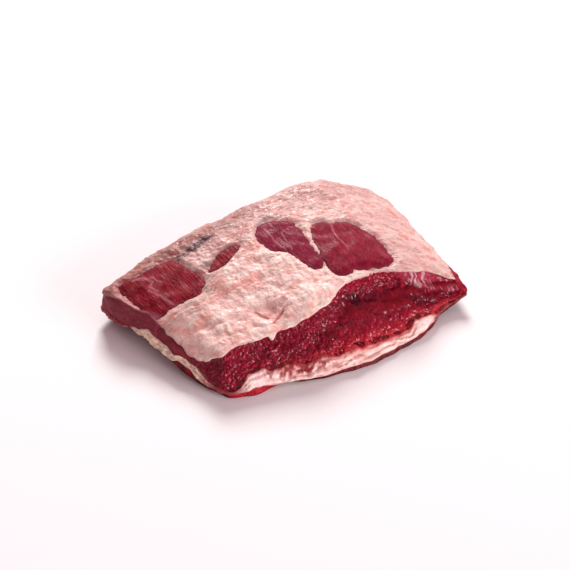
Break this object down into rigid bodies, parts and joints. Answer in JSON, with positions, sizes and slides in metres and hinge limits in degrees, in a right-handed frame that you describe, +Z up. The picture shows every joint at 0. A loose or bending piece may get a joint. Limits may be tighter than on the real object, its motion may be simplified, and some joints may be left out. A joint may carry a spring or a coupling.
{
  "type": "raw beef brisket",
  "caption": "Slab of raw beef breast: coarse lean under a trimmed fat cap, with a fat seam and a thin sheet of lean beneath, cut straight at the front.",
  "frame": {"origin": "middle of the plan's bounding box, on the surface the brisket lies on", "axes": "+X along the slab, towards its thin right tip; +Y from the cut front to the back; +Z up, out of the fat cap"},
  "size_m": [0.3248, 0.2272, 0.0703],
  "materials": {
    "fat": "moist, soft and lobed",
    "lean": "moist and coarse-grained",
    "seam_fat": "moist and soft",
    "dark_lean": "moist and coarse-grained"
  },
  "bodies": {
    "root": {"fat_cap": "fat", "lean": "lean", "seam_fat": "seam_fat", "lower_lean": "dark_lean"}
  },
  "joints": []
}
